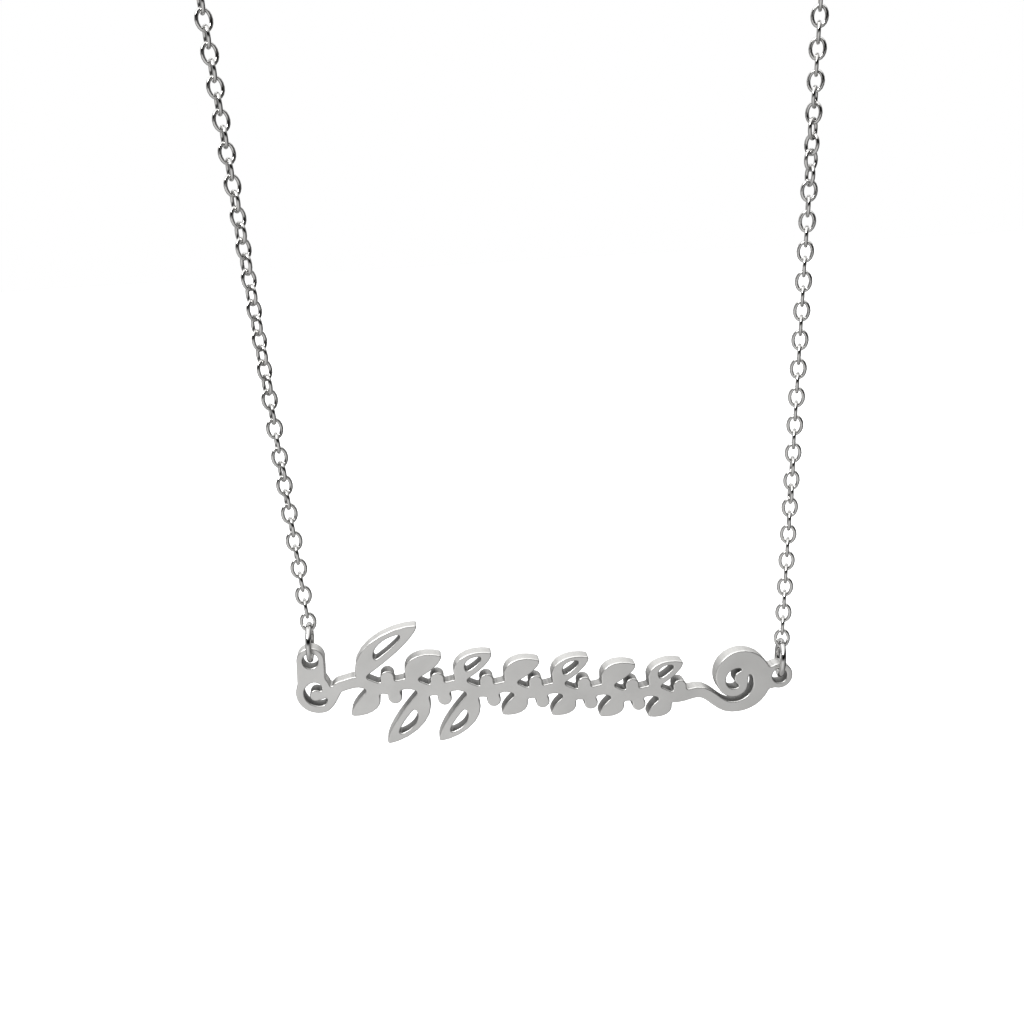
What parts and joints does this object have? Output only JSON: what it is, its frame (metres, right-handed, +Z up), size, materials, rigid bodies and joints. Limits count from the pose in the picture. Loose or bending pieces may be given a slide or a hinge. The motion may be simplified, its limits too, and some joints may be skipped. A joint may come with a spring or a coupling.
{
  "type": "nameplate necklace",
  "caption": "Fine cable-chain necklace with a flat pierced vine nameplate hung between two jump rings and a closed clasp at the nape.",
  "frame": {"origin": "the nape, the highest point of the chain's route, where the loop hangs on a neck, hook or bust", "axes": "+Z up, the nameplate's face looks along -Y, +X runs towards the nameplate's lower end, on the right in the picture"},
  "size_m": [0.066, 0.064, 0.1282],
  "materials": {
    "plate_steel": "satin polished stainless steel",
    "wire_steel": "bright polished stainless steel wire"
  },
  "bodies": {
    "necklace": {"jump_ring_left": "wire_steel", "jump_ring_right": "wire_steel", "chain_left": "wire_steel", "chain_right": "wire_steel", "clasp": "wire_steel", "end_ring": "wire_steel"},
    "plate": {"nameplate": "plate_steel"}
  },
  "joints": [
    {"name": "plate_swing", "type": "hinge", "parent": "necklace", "child": "plate", "pos_m": [0, -0.0605, -0.118], "axis": [0.9921, 0, -0.1253], "range_deg": [-90, 90]}
  ]
}
